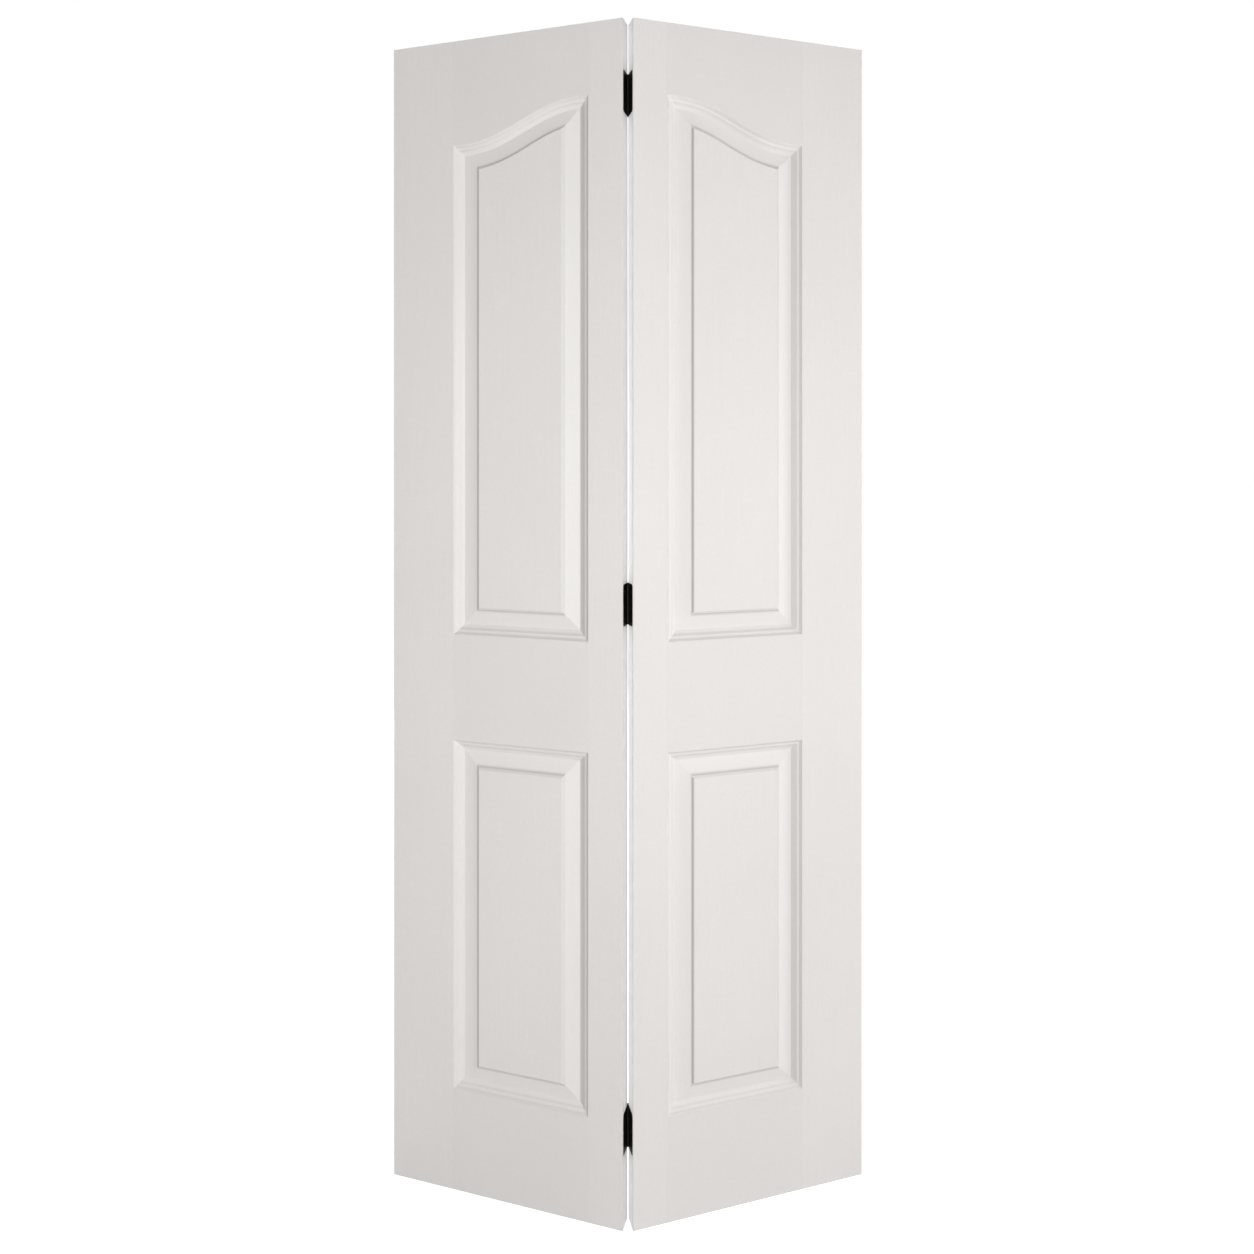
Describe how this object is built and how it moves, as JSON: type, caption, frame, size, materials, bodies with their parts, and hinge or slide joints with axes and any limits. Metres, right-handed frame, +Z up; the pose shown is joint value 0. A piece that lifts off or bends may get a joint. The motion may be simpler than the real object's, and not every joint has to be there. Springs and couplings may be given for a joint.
{
  "type": "bifold closet door",
  "caption": "Bifold closet door: a pair of tall moulded hollow-core panel leaves with half-arched upper panels, hinged edge to edge and standing part folded.",
  "frame": {"origin": "bottom centre of the box round the door as it stands part folded", "axes": "+Z up along the hinge pins; +X to the right seen from the room; -Y toward the room, where the fold points"},
  "size_m": [0.8356, 0.1448, 2.007],
  "materials": {
    "primed_skin": "white factory primer, eggshell, over hardboard pressed with a fine upright wood grain",
    "frame_pine": "planed pine, edges primed with the skins",
    "core_cardboard": "plain kraft board",
    "hinge_black": "satin black baked enamel on pressed steel",
    "screw_black": "black phosphate",
    "pin_black": "satin black, a little worn"
  },
  "bodies": {
    "left_leaf": {"left_front_skin": "primed_skin", "left_back_skin": "primed_skin", "left_hinge_stile": "frame_pine", "left_outer_stile": "frame_pine", "left_bottom_rail": "frame_pine", "left_top_rail": "frame_pine", "left_lock_block": "frame_pine", "left_bottom_core_strip": "core_cardboard", "left_lower_core_strip": "core_cardboard", "left_middle_core_strip": "core_cardboard", "left_upper_core_strip": "core_cardboard", "left_top_core_strip": "core_cardboard", "bottom_hinge_left_plate": "hinge_black", "bottom_hinge_left_screw_1": "screw_black", "bottom_hinge_left_screw_2": "screw_black", "bottom_hinge_left_screw_3": "screw_black", "middle_hinge_left_plate": "hinge_black", "middle_hinge_left_screw_1": "screw_black", "middle_hinge_left_screw_2": "screw_black", "middle_hinge_left_screw_3": "screw_black", "top_hinge_left_plate": "hinge_black", "top_hinge_left_screw_1": "screw_black", "top_hinge_left_screw_2": "screw_black", "top_hinge_left_screw_3": "screw_black", "bottom_hinge_pin": "pin_black", "middle_hinge_pin": "pin_black", "top_hinge_pin": "pin_black"},
    "right_leaf": {"right_front_skin": "primed_skin", "right_back_skin": "primed_skin", "right_hinge_stile": "frame_pine", "right_outer_stile": "frame_pine", "right_bottom_rail": "frame_pine", "right_top_rail": "frame_pine", "right_lock_block": "frame_pine", "right_bottom_core_strip": "core_cardboard", "right_lower_core_strip": "core_cardboard", "right_middle_core_strip": "core_cardboard", "right_upper_core_strip": "core_cardboard", "right_top_core_strip": "core_cardboard", "bottom_hinge_right_plate": "hinge_black", "bottom_hinge_right_screw_1": "screw_black", "bottom_hinge_right_screw_2": "screw_black", "bottom_hinge_right_screw_3": "screw_black", "middle_hinge_right_plate": "hinge_black", "middle_hinge_right_screw_1": "screw_black", "middle_hinge_right_screw_2": "screw_black", "middle_hinge_right_screw_3": "screw_black", "top_hinge_right_plate": "hinge_black", "top_hinge_right_screw_1": "screw_black", "top_hinge_right_screw_2": "screw_black", "top_hinge_right_screw_3": "screw_black"}
  },
  "joints": [
    {"name": "fold", "type": "hinge", "parent": "left_leaf", "child": "right_leaf", "pos_m": [0, -0.0441, 1.0035], "axis": [0, 0, 1], "range_deg": [-32, 148]}
  ]
}
